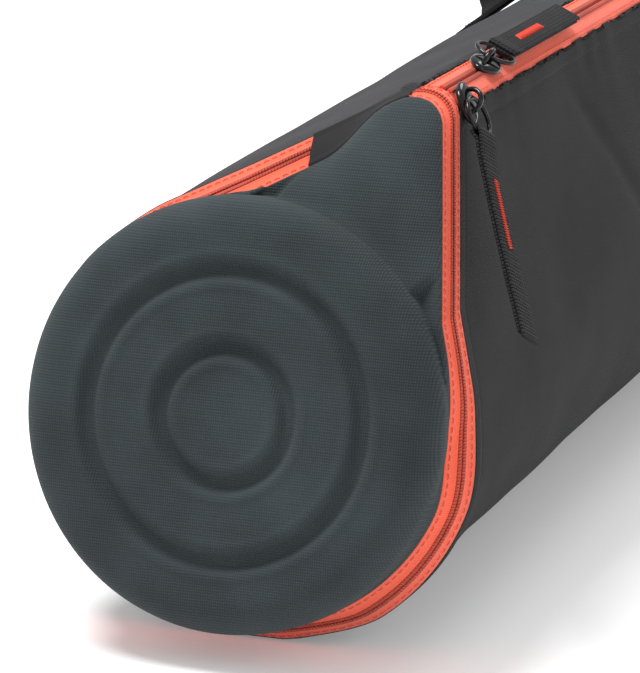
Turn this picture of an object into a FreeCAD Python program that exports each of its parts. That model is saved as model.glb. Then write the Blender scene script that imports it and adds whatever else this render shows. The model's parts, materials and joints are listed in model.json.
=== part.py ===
"""Telescope carry case: a padded fabric tube with a moulded, zipped end cap. Millimetres, +Z up.

The case lies on its belly along Y, with the zipped cap at -Y. The origin is the middle of the belly flat.
"Station" is the distance behind the mouth plane. Each cross-section is a round tube drawn up to a soft
ridge, which carries the lengthwise zip. Angles are measured about +Y from +X towards +Z.
"""
import FreeCAD, Part
import math
import os

from FreeCAD import Vector, Placement, Rotation, Matrix

os.makedirs("parts", exist_ok=True)
doc = FreeCAD.newDocument("carry_case")

# ---------------------------------------------------------------- driving dimensions
sheet = doc.addObject("Spreadsheet::Sheet", "sizes")
SIZES = {
    "mouth_y": -390.0,        # row position of the mouth plane
    "body_len": 780.0,        # mouth plane to tail seam
    "ridge_len": 700.0,       # station where the ridge starts to fade into the round tail
    "front_rad": 89.0,        # round part of the section at the mouth
    "ridge_rad": 79.0,        # the same where the ridge starts to fade
    "tail_rad": 76.0,         # the same at the tail seam
    "front_apex": 136.0,      # ridge height above the section's centre, at the mouth
    "ridge_apex": 110.0,
    "tail_apex": 79.0,
    "apex_rad": 14.0,         # roundness of the ridge
    "apex_angle": 65.0,       # degrees, direction of the ridge
    "belly_flat": 1.2,        # how far the belly is pressed flat
    "mouth_lean": 8.0,        # degrees, the mouth plane leans back
    "face_lean": 13.0,        # degrees, so does the cap's moulded face
    "ear_slope": 0.9,         # how fast the mouth falls back further towards the ridge
    "ear_start": 80.0,        # height along the ridge direction where it starts to lean
    "skin": 1.2,              # outer fabric
    "foam": 7.8,
    "lining": 1.0,
    "tape_half": 10.0,        # visible half width of the zip tape
    "coil_wide": 2.8,
    "coil_thick": 1.8,
    "dome_rad": 86.0,         # moulded face of the end cap
    "dome_depth": 24.0,
    "dome_round": 13.0,
    "cap_wall": 6.0,
    "groove_depth": 3.0,      # two plain round grooves that stiffen the cap's face
    "groove_wide": 7.0,
    "groove_rad_inner": 26.0,
    "groove_rad_outer": 56.0,
    "tail_dome_rad": 70.0,
    "tail_dome_depth": 18.0,
    "slider_len": 19.0,
    "slider_wide": 13.0,
    "slider_gap": 0.7,        # plate above the tape
    "plate_thick": 2.2,
    "pull_wide": 12.0,
    "pull_thick": 2.6,
    "pull_len": 88.0,
    "pull_lean": 33.0,        # degrees, how far the hanging pull leans forward
    "pull_lift": 12.0,        # degrees, how far the hanging pull stands off the flank
    "pull_dip": 1.5,          # degrees, how far the lying pull slopes down to the zip
    "bail_rad": 5.5,
    "bail_wide": 3.6,
    "bail_hole": 2.2,
    "ring_rad": 8.0,
    "ring_wire": 0.9,
    "handle_wide": 30.0,
    "handle_thick": 3.0,
    "handle_span": 130.0,
    "handle_rise": 34.0,
    "dring_wire": 2.2,
    "dring_wide": 15.0,       # half width inside the ring
}
for row, (alias, value) in enumerate(SIZES.items(), start=1):
    sheet.set(f"A{row}", alias)
    sheet.set(f"B{row}", str(value))
    sheet.setAlias(f"B{row}", alias)
doc.recompute()


def size(alias):
    """A driving dimension, read back from the spreadsheet."""
    return float(sheet.get(alias))


MOUTH = size("mouth_y")
APEX = math.radians(size("apex_angle"))
APEX_DIR = Vector(math.cos(APEX), 0, math.sin(APEX))
HUGE = 600.0
NODES = {}


def keep(label, obj):
    """Registers an object as a sub-part: its label names its file."""
    obj.Label = label
    NODES[label] = obj
    return obj


def shape_node(label, shape):
    """A sub-part whose shape comes from Part's own functions."""
    obj = doc.addObject("Part::Feature", label)
    obj.Shape = shape
    return keep(label, obj)


# ---------------------------------------------------------------- the body's section and its lofts
def mix(a, b, share):
    return a + (b - a) * share


def section_sizes(station):
    """Round radius and ridge height at a station behind the mouth plane."""
    turn = size("ridge_len")
    if station <= turn:
        share = station / turn
        return (mix(size("front_rad"), size("ridge_rad"), share),
                mix(size("front_apex"), size("ridge_apex"), share))
    share = (station - turn) / (size("body_len") - turn)
    return (mix(size("ridge_rad"), size("tail_rad"), share),
            mix(size("ridge_apex"), size("tail_apex"), share))


def centre(station):
    """Centre of the round part of the section, in the row frame."""
    radius, _ = section_sizes(station)
    return Vector(0, MOUTH + station, radius - size("belly_flat"))


def at_angle(angle):
    return Vector(math.cos(angle), 0, math.sin(angle))


def section_wire(station, inset):
    """The tear-drop outline at a station, inset by a wall thickness."""
    radius, apex = section_sizes(station)
    small = size("apex_rad")
    reach = apex - small
    half = math.acos((radius - small) / reach)
    mid = centre(station)
    tip = mid + APEX_DIR * reach
    big, little = radius - inset, small - inset
    right, left = at_angle(APEX - half), at_angle(APEX + half)
    start, stop = mid + right * big, mid + left * big
    tip_right, tip_left = tip + right * little, tip + left * little
    return Part.Wire([
        Part.Arc(start, mid - APEX_DIR * big, stop).toShape(),
        Part.makeLine(stop, tip_left),
        Part.Arc(tip_left, tip + APEX_DIR * little, tip_right).toShape(),
        Part.makeLine(tip_right, start),
    ])


def body_form(inset):
    """The solid inside the body's outer surface, inset by a wall thickness."""
    stations = [-60.0, 0.0, size("ridge_len"), size("body_len")]
    front = Part.makeLoft([section_wire(s, inset) for s in (stations[0], stations[2])], True, True)
    rear = Part.makeLoft([section_wire(s, inset) for s in stations[2:]], True, True)
    form = front.fuse(rear)
    floor = Part.makeBox(HUGE, 2 * HUGE, HUGE, Vector(-HUGE / 2, -HUGE, inset))
    return form.common(floor)


def frame_at(origin, along, out):
    """Placement whose X runs along, Z points out and Y is across."""
    across = out.cross(along).normalize()
    return Placement(Matrix(along.x, across.x, out.x, origin.x,
                            along.y, across.y, out.y, origin.y,
                            along.z, across.z, out.z, origin.z, 0, 0, 0, 1))


FORWARD, BACKWARD, RIGHTWARD = Vector(0, -1, 0), Vector(0, 1, 0), Vector(1, 0, 0)
LEAN = math.radians(size("mouth_lean"))
EAR_FOOT = APEX_DIR * size("ear_start")
EAR_FOOT_Y = EAR_FOOT.z * math.tan(LEAN)
MOUTH_OUT = Vector(0, -math.cos(LEAN), math.sin(LEAN))
EAR_OUT = (APEX_DIR * size("ear_slope") + FORWARD).normalize()


def mouth_station(point, offset):
    """Station of the mouth surface, moved back by offset, at a point's place in the section."""
    rel = point - centre(0)
    flat = rel.z * math.tan(LEAN)
    ear = EAR_FOOT_Y + size("ear_slope") * (rel.dot(APEX_DIR) - size("ear_start"))
    return offset + max(flat, ear)


def in_front(offset):
    """Everything ahead of the mouth surface, moved back by offset: a leaning plane with a steeper ear."""
    def half_space(point, outward, level):
        block = Part.makeBox(HUGE, HUGE, HUGE, Vector(0, -HUGE / 2, -HUGE / 2))
        block.Placement = frame_at(point, outward, outward.cross(level).normalize())
        return block
    flat = half_space(centre(0) + BACKWARD * offset, MOUTH_OUT, RIGHTWARD)
    ear = half_space(centre(0) + EAR_FOOT + BACKWARD * (EAR_FOOT_Y + offset), EAR_OUT,
                     APEX_DIR.cross(BACKWARD))
    return flat.fuse(ear)


def wedge(low, high):
    """A sector of the case between two angles about its axis, in degrees."""
    mid = centre(0)
    arms = [at_angle(math.radians(a)) * HUGE for a in (low, (low + high) / 2, high)]
    points = [mid] + [mid + arm for arm in arms] + [mid]
    face = Part.Face(Part.makePolygon([p - Vector(0, HUGE / 2, 0) for p in points]))
    return face.extrude(Vector(0, 2 * HUGE, 0))


SKIN = size("skin")
FOAM_IN = SKIN + size("foam")
LINING_IN = FOAM_IN + size("lining")
TAPE = size("tape_half")
COIL = size("coil_wide")

form_outer = body_form(0)
form_skin = body_form(SKIN)
form_coil = body_form(SKIN + size("coil_thick"))
form_foam = body_form(FOAM_IN)
form_lining = body_form(LINING_IN)

skin_all = form_outer.cut(form_skin)
coil_all = form_skin.cut(form_coil)

ZIP_END_ANGLE = 83.0        # where the cap's zip ends and the hinge gusset starts
CORNER_ANGLE = 63.0         # where the gusset meets the zip's corner
gusset_sector = wedge(CORNER_ANGLE, ZIP_END_ANGLE)

# ---------------------------------------------------------------- ridge frame, for zip and sliders
def ridge_point(station, height=0.0):
    _, apex = section_sizes(station)
    return centre(station) + APEX_DIR * (apex + height)


RIDGE_START = ridge_point(0)
RIDGE_END = ridge_point(size("ridge_len"))
RIDGE_ALONG = (RIDGE_END - RIDGE_START).normalize()
RIDGE_OUT = (APEX_DIR - RIDGE_ALONG * APEX_DIR.dot(RIDGE_ALONG)).normalize()


def ridge_strip(low, high, start, stop):
    """A block that follows the ridge, from low to high across it, between two stations."""
    block = Part.makeBox(stop - start, high - low, 60, Vector(0, low, -30))
    block.Placement = frame_at(ridge_point(start), RIDGE_ALONG, RIDGE_OUT)
    return block


ZIP_STOP = 690.0             # station of the lengthwise zip's end
zip_slot = ridge_strip(-TAPE, TAPE, -20, ZIP_STOP).cut(in_front(2 * TAPE))

# ---------------------------------------------------------------- body: skin, padding, lining
shell = skin_all.cut(in_front(2 * TAPE)).cut(zip_slot)
shape_node("outer_shell", shell)

padding_cut = ridge_strip(-TAPE, TAPE, -20, ZIP_STOP)
padding = form_skin.cut(form_foam).cut(in_front(2 * TAPE)).cut(padding_cut)
shape_node("foam_padding", padding)
shape_node("inner_lining", form_foam.cut(form_lining).cut(in_front(2 * TAPE)).cut(padding_cut))

# ---------------------------------------------------------------- the mouth's zip and its hinge gusset
mouth_band = in_front(2 * TAPE - 0.05).cut(in_front(TAPE + 0.15))
cap_band = in_front(TAPE - 0.15).cut(in_front(0.05))
shape_node("mouth_zip_tape", skin_all.common(mouth_band).cut(gusset_sector))
shape_node("cap_zip_tape", skin_all.common(cap_band).cut(gusset_sector))
shape_node("mouth_zip_coil",
           coil_all.common(in_front(TAPE + COIL).cut(in_front(TAPE + 0.15))).cut(gusset_sector))
shape_node("cap_zip_coil",
           coil_all.common(in_front(TAPE - 0.15).cut(in_front(TAPE - COIL))).cut(gusset_sector))
shape_node("hinge_gusset_rear", skin_all.common(mouth_band).common(gusset_sector))
shape_node("hinge_gusset_front", skin_all.common(cap_band).common(gusset_sector))
hoop_band = in_front(2 * TAPE + 5).cut(in_front(2 * TAPE + 0.6))
hoop_outer = body_form(SKIN + 0.2)
hoop_inner = body_form(SKIN + 2.2)
mouth_hoop = hoop_outer.cut(hoop_inner).common(hoop_band).cut(padding_cut)
NODES["foam_padding"].Shape = padding.cut(hoop_outer.common(hoop_band))
shape_node("mouth_hoop", mouth_hoop)

# ---------------------------------------------------------------- lengthwise zip
ZIP_START = 0.3              # gap between neighbouring pieces of the zip
behind = in_front(2 * TAPE + ZIP_START)
left_strip = ridge_strip(ZIP_START / 2, TAPE - 0.05, 0, ZIP_STOP - 0.3).cut(behind)
right_strip = ridge_strip(-TAPE + 0.05, -ZIP_START / 2, 0, ZIP_STOP - 0.3).cut(behind)
shape_node("long_zip_tape_top", skin_all.common(left_strip))
shape_node("long_zip_tape_side", skin_all.common(right_strip))
COIL_START, COIL_DEPTH = 86.0, 1.7
for name, low in (("top", ZIP_START / 2), ("side", -ZIP_START / 2 - size("coil_wide"))):
    coil = doc.addObject("Part::Box", "long_zip_coil_" + name)
    coil.Length = (ridge_point(ZIP_STOP - 2) - ridge_point(COIL_START)).Length
    coil.setExpression("Width", "sizes.coil_wide")
    coil.setExpression("Height", "sizes.coil_thick")
    lowered = Placement(Vector(0, low, -COIL_DEPTH - size("coil_thick")), Rotation())
    coil.Placement = frame_at(ridge_point(COIL_START), RIDGE_ALONG, RIDGE_OUT).multiply(lowered)
    keep("long_zip_coil_" + name, coil)
stop_tab = Part.makeBox(16, 2 * TAPE + 4, 1.4, Vector(-6, -TAPE - 2, 0.6))
stop_tab.Placement = frame_at(ridge_point(ZIP_STOP), RIDGE_ALONG, RIDGE_OUT)
shape_node("zip_end_patch", stop_tab)


# ---------------------------------------------------------------- moulded end cap
def dome(radius, depth, rounding, origin, outward):
    """A flat-faced cap with a rounded rim, standing out from origin."""
    disc = Part.makeCylinder(radius, depth, origin, outward)
    rim = [e for e in disc.Edges
           if len(e.Vertexes) == 1 and abs((e.CenterOfMass - origin).dot(outward) - depth) < 0.01]
    return disc.makeFillet(rounding, rim)


FACE_LEAN = math.radians(size("face_lean"))
FACE_OUT = Vector(0, -math.cos(FACE_LEAN), math.sin(FACE_LEAN))
cap_mid = centre(0) + Vector(1.5, 0, 3.0)
face_mid = cap_mid + FACE_OUT * size("dome_depth")
wall = size("cap_wall")
DOME_ROOT = 34.0
collar = in_front(0).cut(in_front(-wall))
dome_foot = cap_mid - FACE_OUT * DOME_ROOT
dome_outer = dome(size("dome_rad"), size("dome_depth") + DOME_ROOT, size("dome_round"), dome_foot, FACE_OUT)
dome_inner = dome(size("dome_rad") - wall, size("dome_depth") + DOME_ROOT - wall, size("dome_round") - wall,
                  dome_foot, FACE_OUT)
above_floor = Part.makeBox(HUGE, 2 * HUGE, HUGE, Vector(-HUGE / 2, -HUGE, 0))
cap_body = form_outer.common(collar).fuse(dome_outer.common(in_front(0))).cut(dome_inner).common(above_floor)


def ring_groove(radius):
    """A round channel in the cap's face, about the face's centre."""
    depth, half = size("groove_depth"), size("groove_wide") / 2
    base = face_mid - FACE_OUT * depth
    outer = Part.makeCylinder(radius + half, depth + 10, base, FACE_OUT)
    return outer.cut(Part.makeCylinder(radius - half, depth + 10, base, FACE_OUT))


for radius in (size("groove_rad_inner"), size("groove_rad_outer")):
    cap_body = cap_body.cut(ring_groove(radius))
shape_node("cap_shell", cap_body)


def cap_disc(label, radius, height, depth):
    """A round layer inside the cap, facing out, its outer side at a depth behind the face."""
    disc = doc.addObject("Part::Cylinder", label)
    disc.setExpression("Radius", radius)
    disc.setExpression("Height", height)
    doc.recompute()
    disc.Placement = frame_at(face_mid - FACE_OUT * (depth + disc.Height.Value), RIGHTWARD, FACE_OUT)
    keep(label, disc)


cap_disc("cap_foam_pad", "sizes.dome_rad - sizes.cap_wall - 8", "sizes.foam - 1.8", wall + 0.2)
cap_disc("cap_lining", "sizes.dome_rad - sizes.cap_wall - 2", "sizes.lining", wall + 6.5)

# ---------------------------------------------------------------- moulded tail cap
tail_mid = centre(size("body_len"))
TAIL_FLANGE = 8.0
tail_outer = dome(size("tail_dome_rad"), size("tail_dome_depth"), 10, tail_mid, BACKWARD)
tail_inner = dome(size("tail_dome_rad") - wall, size("tail_dome_depth") - wall, 4, tail_mid, BACKWARD)
tail_plug = form_lining.common(Part.makeBox(HUGE, TAIL_FLANGE, HUGE,
                                            Vector(-HUGE / 2, MOUTH + size("body_len") - TAIL_FLANGE, 0)))
tail_shell = tail_outer.cut(tail_inner)
shape_node("tail_cap_shell", tail_shell)
shape_node("tail_foam_pad", tail_plug)
piping = doc.addObject("Part::Torus", "tail_piping")
piping.setExpression("Radius1", "sizes.tail_dome_rad + 2.2")
piping.Radius2 = 2.0
piping.Placement = Placement(tail_mid + BACKWARD * 2.05, Rotation(Vector(1, 0, 0), 90))
keep("tail_piping", piping)

# ---------------------------------------------------------------- zip sliders and pulls
def flank_point(side, share, offset):
    """A point where a flat flank meets the mouth surface: side +1 right or -1 left, share 0 at the ridge."""
    station = offset
    small = size("apex_rad")
    for _ in range(8):
        radius, apex = section_sizes(station)
        reach = apex - small
        half = math.acos((radius - small) / reach)
        out = at_angle(APEX - side * half)
        top = centre(station) + APEX_DIR * reach + out * small
        low = centre(station) + out * radius
        point = top + (low - top) * share
        station = mouth_station(point, offset)
    return point, out


EDGE_TOP, FLANK_OUT = flank_point(1, 0.0, TAPE)
EDGE_DOWN = (flank_point(1, 0.5, TAPE)[0] - EDGE_TOP).normalize()
FLANK_NORMAL = (FLANK_OUT - EDGE_DOWN * FLANK_OUT.dot(EDGE_DOWN)).normalize()
hinge_top, hinge_out = flank_point(-1, 0.0, TAPE)
hinge_low, _ = flank_point(-1, 0.55, TAPE)
HINGE_AT = (hinge_top + hinge_low) * 0.5
HINGE_AXIS = (hinge_low - hinge_top).normalize()


BAIL_HEIGHT = size("plate_thick") + size("bail_hole") + 0.2


def slider(prefix, placement):
    """A zip slider: a waisted plate and the arched bail that holds the pull ring."""
    body = doc.addObject("PartDesign::Body", prefix + "_plate")
    plane = [f for f in body.Origin.OriginFeatures if f.Role == "XY_Plane"][0]
    sketch = body.newObject("Sketcher::SketchObject", prefix + "_outline")
    sketch.AttachmentSupport = (plane, "")
    sketch.MapMode = "FlatFace"
    half_len, half_wide = size("slider_len") / 2, size("slider_wide") / 2
    corners = [(-half_len, 3.2), (-half_len + 4, half_wide - 0.8), (half_len - 6, half_wide),
               (half_len, half_wide - 2.6)]
    corners += [(x, -y) for x, y in reversed(corners)]
    for (x1, y1), (x2, y2) in zip(corners, corners[1:] + corners[:1]):
        sketch.addGeometry(Part.LineSegment(Vector(x1, y1, 0), Vector(x2, y2, 0)), False)
    pad = body.newObject("PartDesign::Pad", prefix + "_pad")
    pad.Profile = sketch
    pad.setExpression("Length", "sizes.plate_thick")
    doc.recompute()
    body.Placement = placement
    keep(prefix + "_plate", body)
    plate, arch, wide = size("plate_thick"), size("bail_rad"), size("bail_wide")
    bail = Part.makeCylinder(arch, wide, Vector(0, -wide / 2, plate), Vector(0, 1, 0))
    bail = bail.makeFillet(0.8, [e for e in bail.Edges if len(e.Vertexes) == 1])
    bail = bail.common(Part.makeBox(20, 20, 20, Vector(-10, -10, plate + 0.01)))
    hole = Part.makeCylinder(size("bail_hole"), 3 * wide, Vector(0, -1.5 * wide, BAIL_HEIGHT), Vector(0, 1, 0))
    bail = bail.cut(hole)
    bail.Placement = placement
    shape_node(prefix + "_bail", bail)


def pull(prefix, bail_at, along, out, tilt):
    """The pull: a wire ring through the bail and a folded webbing tag with a bar tack."""
    lean = math.radians(tilt)
    along, out = along * math.cos(lean) - out * math.sin(lean), out * math.cos(lean) + along * math.sin(lean)
    ring_at = bail_at + along * size("ring_rad")
    ring = doc.addObject("Part::Torus", prefix + "_ring")
    ring.setExpression("Radius1", "sizes.ring_rad")
    ring.setExpression("Radius2", "sizes.ring_wire")
    ring.Placement = frame_at(ring_at, along, out)
    keep(prefix + "_ring", ring)
    here = frame_at(ring_at + along * (size("ring_rad") + size("ring_wire") + 0.3), along, out)
    tag = doc.addObject("Part::Box", prefix + "_webbing")
    tag.setExpression("Length", "sizes.pull_len")
    tag.setExpression("Width", "sizes.pull_wide")
    tag.setExpression("Height", "sizes.pull_thick")
    corner = Vector(0, -size("pull_wide") / 2, -size("pull_thick") / 2)
    tag.Placement = here.multiply(Placement(corner, Rotation()))
    keep(prefix + "_webbing", tag)
    tack = doc.addObject("Part::Box", prefix + "_bar_tack")
    tack.Length, tack.Width, tack.Height = 36, 3, 0.5
    tack.Placement = here.multiply(Placement(Vector(20, -1.5, size("pull_thick") / 2 + 0.02), Rotation()))
    keep(prefix + "_bar_tack", tack)


SLIDER_A_STATION, SLIDER_A_TURN = 80.0, 0.62     # on the rounding of the ridge, turned towards the flank
tip_out = at_angle(APEX - SLIDER_A_TURN)
slider_a_out = (tip_out - RIDGE_ALONG * tip_out.dot(RIDGE_ALONG)).normalize()
slider_a_along = (EDGE_DOWN - slider_a_out * EDGE_DOWN.dot(slider_a_out)).normalize()
slider_a_at = (ridge_point(SLIDER_A_STATION, -size("apex_rad")) + tip_out * size("apex_rad")
               + slider_a_out * size("slider_gap"))
slider("slider_a", frame_at(slider_a_at, slider_a_along, slider_a_out))
bail_a = slider_a_at + slider_a_out * BAIL_HEIGHT
pull_lean = math.radians(size("pull_lean"))
flank_down = FLANK_NORMAL.cross(FORWARD).normalize()
flank_down = flank_down if flank_down.z < 0 else flank_down * -1
flank_front = flank_down.cross(FLANK_NORMAL)
flank_front = flank_front if flank_front.y < 0 else flank_front * -1
pull_a_along = flank_down * math.cos(pull_lean) + flank_front * math.sin(pull_lean)
pull("pull_a", bail_a, pull_a_along, FLANK_NORMAL, -size("pull_lift"))

SLIDER_B_STATION = 126.0
slider_b_at = ridge_point(SLIDER_B_STATION) + RIDGE_OUT * size("slider_gap")
slider("slider_b", frame_at(slider_b_at, RIDGE_ALONG, RIDGE_OUT))
bail_b = slider_b_at + RIDGE_OUT * BAIL_HEIGHT
pull("pull_b", bail_b, RIDGE_ALONG, RIDGE_OUT, size("pull_dip"))

# ---------------------------------------------------------------- carry handle and strap rings
HANDLE_STATION = 550.0
HANDLE_ANGLE = 128.0


def wall_point(station, angle, height=0.0):
    """A point on the round part of the outer surface."""
    radius, _ = section_sizes(station)
    return centre(station) + at_angle(math.radians(angle)) * (radius + height)


def wall_frame(station, angle, height):
    """Placement on the round wall: X along the case, Z outwards."""
    here = wall_point(station, angle, height)
    along = (wall_point(station + 1, angle) - wall_point(station - 1, angle)).normalize()
    out = at_angle(math.radians(angle))
    out = (out - along * out.dot(along)).normalize()
    return frame_at(here, along, out)


half_span = size("handle_span") / 2
frame = wall_frame(HANDLE_STATION, HANDLE_ANGLE, 2.4)
end_left, end_right = Vector(-half_span, 0, 0), Vector(half_span, 0, 0)
crown = Vector(0, 0, size("handle_rise"))
arc = Part.Arc(end_left, crown, end_right).toShape()
start_dir = arc.tangentAt(arc.FirstParameter)
strap_half, strap_deep = size("handle_wide") / 2, size("handle_thick")
normal = start_dir.cross(Vector(0, 1, 0)).normalize()
corners = [end_left + Vector(0, side * strap_half, 0) + normal * lift * strap_deep / 2
           for side, lift in ((-1, -1), (1, -1), (1, 1), (-1, 1))]
profile = Part.makePolygon(corners + corners[:1])
handle_band = Part.Wire([arc]).makePipeShell([profile], True, False)
handle_band.Placement = frame
shape_node("handle_webbing", handle_band)

grip_outer = Part.makeBox(72, size("handle_wide") + 5, 15, Vector(-36, -size("handle_wide") / 2 - 2.5,
                                                               size("handle_rise") - 12))
grip_outer = grip_outer.makeFillet(2.5, [e for e in grip_outer.Edges
                                         if abs(e.Vertexes[0].X - e.Vertexes[1].X) > 60])
swept = Part.Wire([arc]).makePipeShell([Part.makePolygon([
    end_left + Vector(0, side * (strap_half + 0.3), 0) + normal * lift * (strap_deep / 2 + 0.3)
    for side, lift in ((-1, -1), (1, -1), (1, 1), (-1, 1), (-1, -1))])], True, False)
grip_shape = grip_outer.cut(swept)
grip_shape.Placement = frame
shape_node("handle_grip", grip_shape)

anchors = []
for end in (-1, 1):
    tab = Part.makeBox(34, size("handle_wide") + 4, 1.6,
                       Vector(end * (half_span + 19) - 17, -size("handle_wide") / 2 - 2, -1.6))
    tab.Placement = frame
    anchors.append(tab)
shape_node("handle_anchor_patches", Part.makeCompound(anchors))

DRING_ANGLE = 185.0
for name, station in (("front", 96.0), ("rear", 664.0)):
    spot = wall_frame(station, DRING_ANGLE, 0.0)
    tab = Part.makeBox(32, 24, 2.0, Vector(-28, -12, 1.3))
    bump = Part.makeCylinder(3.6, 24, Vector(0, -12, 4.9), Vector(0, 1, 0))
    hole = Part.makeCylinder(2.5, 30, Vector(0, -15, 4.9), Vector(0, 1, 0))
    loop = tab.fuse(bump).cut(hole)
    loop.Placement = spot
    shape_node(name + "_ring_tab", loop)
    wire_r = size("dring_wire")
    half = size("dring_wide")
    bar = Part.makeCylinder(wire_r, 2 * half, Vector(0, -half, 4.9), Vector(0, 1, 0))
    bow_path = Part.Wire([
        Part.makeLine(Vector(0, half, 4.9), Vector(8, half, 4.9)),
        Part.Arc(Vector(8, half, 4.9), Vector(8 + half, 0, 4.9), Vector(8, -half, 4.9)).toShape(),
        Part.makeLine(Vector(8, -half, 4.9), Vector(0, -half, 4.9)),
    ])
    bow_section = Part.Wire([Part.Circle(Vector(0, half, 4.9), Vector(1, 0, 0), wire_r).toShape()])
    bow = bow_path.makePipeShell([bow_section], True, False)
    knees = [Part.makeSphere(wire_r, Vector(0, side * half, 4.9)) for side in (-1, 1)]
    ring = bar.fuse([bow] + knees)
    ring.Placement = spot
    shape_node(name + "_d_ring", ring)

# ---------------------------------------------------------------- checks and export
doc.recompute()
for obj in doc.Objects:
    if {"Invalid", "Error"} & set(obj.State):
        raise RuntimeError(f"{obj.Name} failed: {obj.State}")
for label, obj in NODES.items():
    shape = obj.Shape
    if shape.isNull() or not shape.isValid() or shape.Volume <= 0 or not shape.Solids:
        raise RuntimeError(f"{label} has no valid solid")
    shape.exportStep(f"parts/{label}.step")
    box = shape.optimalBoundingBox()
    print(f"{label:24s} solids {len(shape.Solids)} volume {shape.Volume:10.0f} "
          f"x {box.XMin:.1f}..{box.XMax:.1f} y {box.YMin:.1f}..{box.YMax:.1f} z {box.ZMin:.1f}..{box.ZMax:.1f}")
for name, vector in (("ridge along", RIDGE_ALONG), ("ridge out", RIDGE_OUT), ("edge down", EDGE_DOWN),
                     ("flank normal", FLANK_NORMAL), ("edge top", EDGE_TOP), ("bail a", bail_a),
                     ("pull a along", pull_a_along), ("slider a out", slider_a_out),
                     ("slider a along", slider_a_along), ("bail b", bail_b), ("hinge at", HINGE_AT),
                     ("hinge axis", HINGE_AXIS), ("face mid", face_mid), ("face out", FACE_OUT)):
    print(f"{name}: {vector.x:.4f} {vector.y:.4f} {vector.z:.4f}")
for name in ("front", "rear"):
    place = NODES[name + "_d_ring"].Placement
    print(name, "ring", place)
print("handle", NODES["handle_webbing"].Placement)
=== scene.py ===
import json
import math

import bmesh
import bpy
from mathutils import Matrix, Vector, noise


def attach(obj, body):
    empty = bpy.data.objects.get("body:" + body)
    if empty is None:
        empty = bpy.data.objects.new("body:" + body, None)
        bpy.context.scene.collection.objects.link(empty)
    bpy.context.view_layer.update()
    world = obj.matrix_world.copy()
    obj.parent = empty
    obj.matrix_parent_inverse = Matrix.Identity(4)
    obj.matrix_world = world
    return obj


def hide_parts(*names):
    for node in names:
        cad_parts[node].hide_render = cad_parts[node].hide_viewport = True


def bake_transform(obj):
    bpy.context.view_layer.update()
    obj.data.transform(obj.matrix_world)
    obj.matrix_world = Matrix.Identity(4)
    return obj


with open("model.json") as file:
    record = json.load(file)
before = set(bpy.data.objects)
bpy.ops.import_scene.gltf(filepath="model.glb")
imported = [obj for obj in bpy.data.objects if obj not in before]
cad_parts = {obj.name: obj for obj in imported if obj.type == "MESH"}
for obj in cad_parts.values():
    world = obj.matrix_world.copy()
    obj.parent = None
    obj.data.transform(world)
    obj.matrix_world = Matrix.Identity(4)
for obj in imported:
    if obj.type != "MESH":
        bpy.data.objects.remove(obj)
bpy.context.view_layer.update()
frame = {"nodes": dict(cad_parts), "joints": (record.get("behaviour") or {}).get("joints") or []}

MM = 0.001

# ---------------------------------------------------------------- the case's own geometry, in mm
MOUTH, BODY_LEN, RIDGE_LEN, ZIP_STOP = -390.0, 780.0, 700.0, 690.0
APEX = math.radians(65.0)
APEX_DIR = Vector((math.cos(APEX), 0, math.sin(APEX)))
SMALL, BELLY = 14.0, 1.2
LEAN, EAR_SLOPE, EAR_START = math.radians(8.0), 0.9, 80.0
EAR_Y = EAR_START * APEX_DIR.z * math.tan(LEAN)


def mix(a, b, share):
    return a + (b - a) * share


def smooth(low, high, x):
    share = min(1.0, max(0.0, (x - low) / (high - low)))
    return share * share * (3 - 2 * share)


def sizes_at(station):
    if station <= RIDGE_LEN:
        share = station / RIDGE_LEN
        return mix(89.0, 79.0, share), mix(136.0, 110.0, share)
    share = (station - RIDGE_LEN) / (BODY_LEN - RIDGE_LEN)
    return mix(79.0, 76.0, share), mix(110.0, 79.0, share)


def centre(station):
    return Vector((0, MOUTH + station, sizes_at(station)[0] - BELLY))


def turn(angle):
    return Vector((math.cos(angle), 0, math.sin(angle)))


def outline(station, along):
    """Point and normal on the section, along = mm from the ridge (positive down the right side)."""
    radius, apex = sizes_at(station)
    reach = apex - SMALL
    half = math.acos((radius - SMALL) / reach)
    side = 1.0 if along >= 0 else -1.0
    rest = abs(along)
    tip_arc, flat = SMALL * half, math.sqrt(reach ** 2 - (radius - SMALL) ** 2)
    mid = centre(station)
    tip = mid + APEX_DIR * reach
    if rest < tip_arc:
        out = turn(APEX - side * rest / SMALL)
        return tip + out * SMALL, out
    out = turn(APEX - side * half)
    rest -= tip_arc
    if rest < flat:
        run = turn(APEX - side * (half + math.pi / 2))
        return tip + out * SMALL + run * rest, out
    out = turn(APEX - side * (half + (rest - flat) / radius))
    point = mid + out * radius
    point.z = max(point.z, 0.0)
    return point, out


def perimeter(station):
    radius, apex = sizes_at(station)
    reach = apex - SMALL
    half = math.acos((radius - SMALL) / reach)
    return 2 * (SMALL * half + math.sqrt(reach ** 2 - (radius - SMALL) ** 2) + radius * (math.pi - half))


def outline_share(station, share):
    """Point and normal at a share -1..1 of half the perimeter from the ridge."""
    return outline(station, share * perimeter(station) / 2)


def mouth_station(point, offset):
    rel = point - centre(0)
    ear = EAR_Y + EAR_SLOPE * (rel.dot(APEX_DIR) - EAR_START)
    return offset + max(rel.z * math.tan(LEAN), ear)


def mouth_point(share, offset):
    """Point, normal and station where the mouth surface, moved back by offset, meets the outer surface.
    Shares below -1 carry on round from the right side."""
    share = share + 2.0 if share < -1.0 else share
    station = offset
    for _ in range(6):
        point, out = outline_share(max(station, -60), share)
        station = mouth_station(point, offset)
    return point, out, station


def share_of_angle(angle):
    """Share of the half perimeter at which the mouth passes an angle about the axis (degrees, left side)."""
    low, high = -1.0, 0.0
    for _ in range(30):
        guess = (low + high) / 2
        rel = mouth_point(guess, 10)[0] - centre(0)
        at = math.degrees(math.atan2(rel.z, rel.x)) % 360
        low, high = (guess, high) if at > angle else (low, guess)
    return (low + high) / 2


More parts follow.
